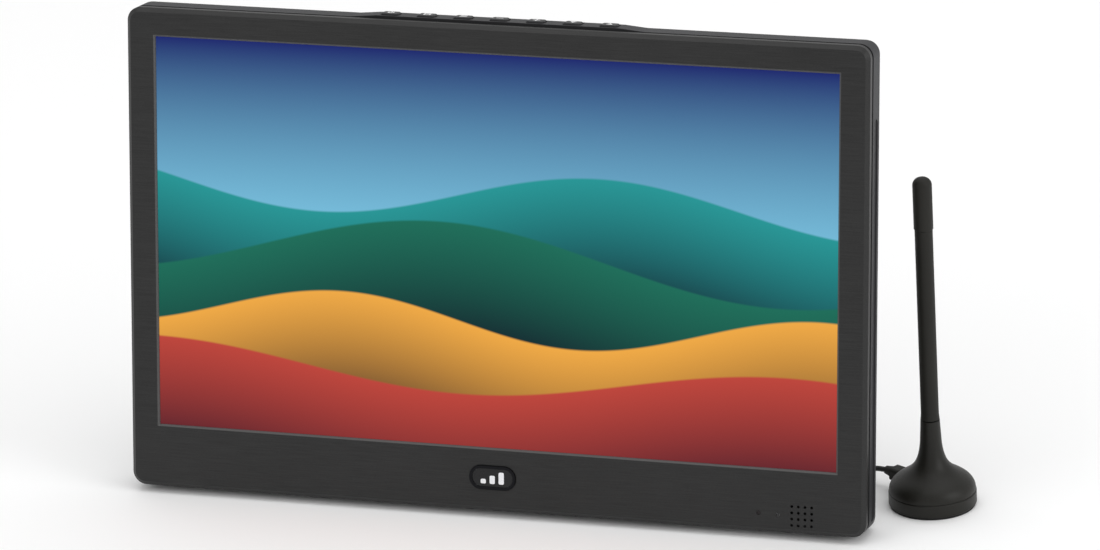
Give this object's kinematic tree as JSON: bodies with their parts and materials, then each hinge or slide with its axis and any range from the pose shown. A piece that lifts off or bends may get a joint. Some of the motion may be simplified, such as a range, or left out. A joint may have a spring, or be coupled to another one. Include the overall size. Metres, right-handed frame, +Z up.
{
  "type": "portable television",
  "caption": "Slim portable flat-screen television leaning on a rear kickstand, with top buttons and a separate magnetic-base whip antenna on its cord.",
  "frame": {"origin": "centre of the underside of the rubber foot strip under the set's lower rear edge, on the table", "axes": "+Z up, +X to the viewer's right along the set's width, +Y away from the viewer; the set leans back 10 degrees"},
  "size_m": [0.3081, 0.0877, 0.1781],
  "materials": {
    "bezel_plastic": "satin black with a fine horizontal brushed grain",
    "cover_plastic": "fine spark-eroded texture, dark grey",
    "button_plastic": "satin",
    "badge_plate": "gloss",
    "badge_trim": "polished",
    "dark_lens": "gloss, smoky",
    "light_pipe": "clear moulded plastic",
    "screen": "semi-gloss display front, lit picture",
    "foam": "matt foam",
    "light_guide": "clear acrylic",
    "white_film": "matt white",
    "steel": "zinc-plated",
    "circuit_board": "solder resist",
    "component_black": "moulded epoxy",
    "connector_white": "moulded nylon",
    "aluminium": "extruded, dull",
    "speaker_paper": "pressed paper",
    "battery_pouch": "laminated foil",
    "wire_insulation": "PVC",
    "ribbon": "polyester",
    "rubber": "matt",
    "stand_plastic": "fine texture, dark grey",
    "antenna_plastic": "satin warm black",
    "antenna_rubber": "satin warm black",
    "magnet": "sintered",
    "brass": "turned",
    "nickel": "nickel-plated",
    "cord": "satin PVC"
  },
  "bodies": {
    "set": {"front_bezel": "bezel_plastic", "badge_plate": "badge_plate", "badge_trim": "badge_trim", "ir_window": "dark_lens", "led_light_pipe": "light_pipe", "panel_gasket": "foam", "lcd_cell": "screen", "light_guide": "light_guide", "reflector_sheet": "white_film", "led_bar": "connector_white", "panel_tray": "steel", "panel_driver_board": "circuit_board", "rear_cover": "cover_plastic", "cover_screws": "steel", "foot_strip": "rubber", "kickstand_pins": "steel", "key_board": "circuit_board", "tact_switches": "component_black", "ir_led_board": "circuit_board", "ir_and_lamp_parts": "component_black", "speaker_frame": "component_black", "speaker_cone": "speaker_paper", "speaker_magnet": "magnet", "main_board": "circuit_board", "tuner_can": "steel", "board_components": "component_black", "heat_sink": "aluminium", "board_connectors": "connector_white", "hdmi_socket": "nickel", "usb_socket": "nickel", "audio_sockets": "component_black", "power_socket": "component_black", "battery_tray": "stand_plastic", "battery_cells": "battery_pouch", "board_screws": "steel", "battery_leads": "wire_insulation", "speaker_leads": "wire_insulation", "ribbon_cables": "ribbon", "antenna_socket": "nickel", "antenna_jumper": "cord", "antenna_plug": "antenna_plastic", "antenna_pad": "rubber", "antenna_base": "antenna_plastic", "antenna_magnet": "magnet", "whip_socket": "brass", "cable_gland": "antenna_rubber", "antenna_cord": "cord", "cord_coil": "cord"},
    "power_button": {"power_button": "button_plastic"},
    "source_button": {"source_button": "button_plastic"},
    "menu_button": {"menu_button": "button_plastic"},
    "volume_down_button": {"volume_down_button": "button_plastic"},
    "volume_up_button": {"volume_up_button": "button_plastic"},
    "channel_down_button": {"channel_down_button": "button_plastic"},
    "channel_up_button": {"channel_up_button": "button_plastic"},
    "kickstand": {"kickstand": "stand_plastic", "kickstand_pad": "rubber"},
    "whip": {"whip_rod": "steel", "whip_sleeve": "antenna_rubber", "whip_cap": "antenna_rubber"}
  },
  "joints": [
    {"name": "power_press", "type": "slide", "parent": "set", "child": "power_button", "axis": [0, -0.1736, -0.9848], "range_m": [0, 0.0007], "stiffness_N_per_m": 500},
    {"name": "source_press", "type": "slide", "parent": "set", "child": "source_button", "axis": [0, -0.1736, -0.9848], "range_m": [0, 0.0007], "stiffness_N_per_m": 500},
    {"name": "menu_press", "type": "slide", "parent": "set", "child": "menu_button", "axis": [0, -0.1736, -0.9848], "range_m": [0, 0.0007], "stiffness_N_per_m": 500},
    {"name": "volume_down_press", "type": "slide", "parent": "set", "child": "volume_down_button", "axis": [0, -0.1736, -0.9848], "range_m": [0, 0.0007], "stiffness_N_per_m": 500},
    {"name": "volume_up_press", "type": "slide", "parent": "set", "child": "volume_up_button", "axis": [0, -0.1736, -0.9848], "range_m": [0, 0.0007], "stiffness_N_per_m": 500},
    {"name": "channel_down_press", "type": "slide", "parent": "set", "child": "channel_down_button", "axis": [0, -0.1736, -0.9848], "range_m": [0, 0.0007], "stiffness_N_per_m": 500},
    {"name": "channel_up_press", "type": "slide", "parent": "set", "child": "channel_up_button", "axis": [0, -0.1736, -0.9848], "range_m": [0, 0.0007], "stiffness_N_per_m": 500},
    {"name": "kickstand_fold", "type": "hinge", "parent": "set", "child": "kickstand", "pos_m": [0, 0.02824, 0.10258], "axis": [-1, 0, 0], "range_deg": [0, 19.46]},
    {"name": "whip_unscrew", "type": "hinge", "parent": "set", "child": "whip", "pos_m": [0.1532, 0.0304, 0.03], "axis": [0, 0, 1], "range_deg": [0, 1440]}
  ]
}
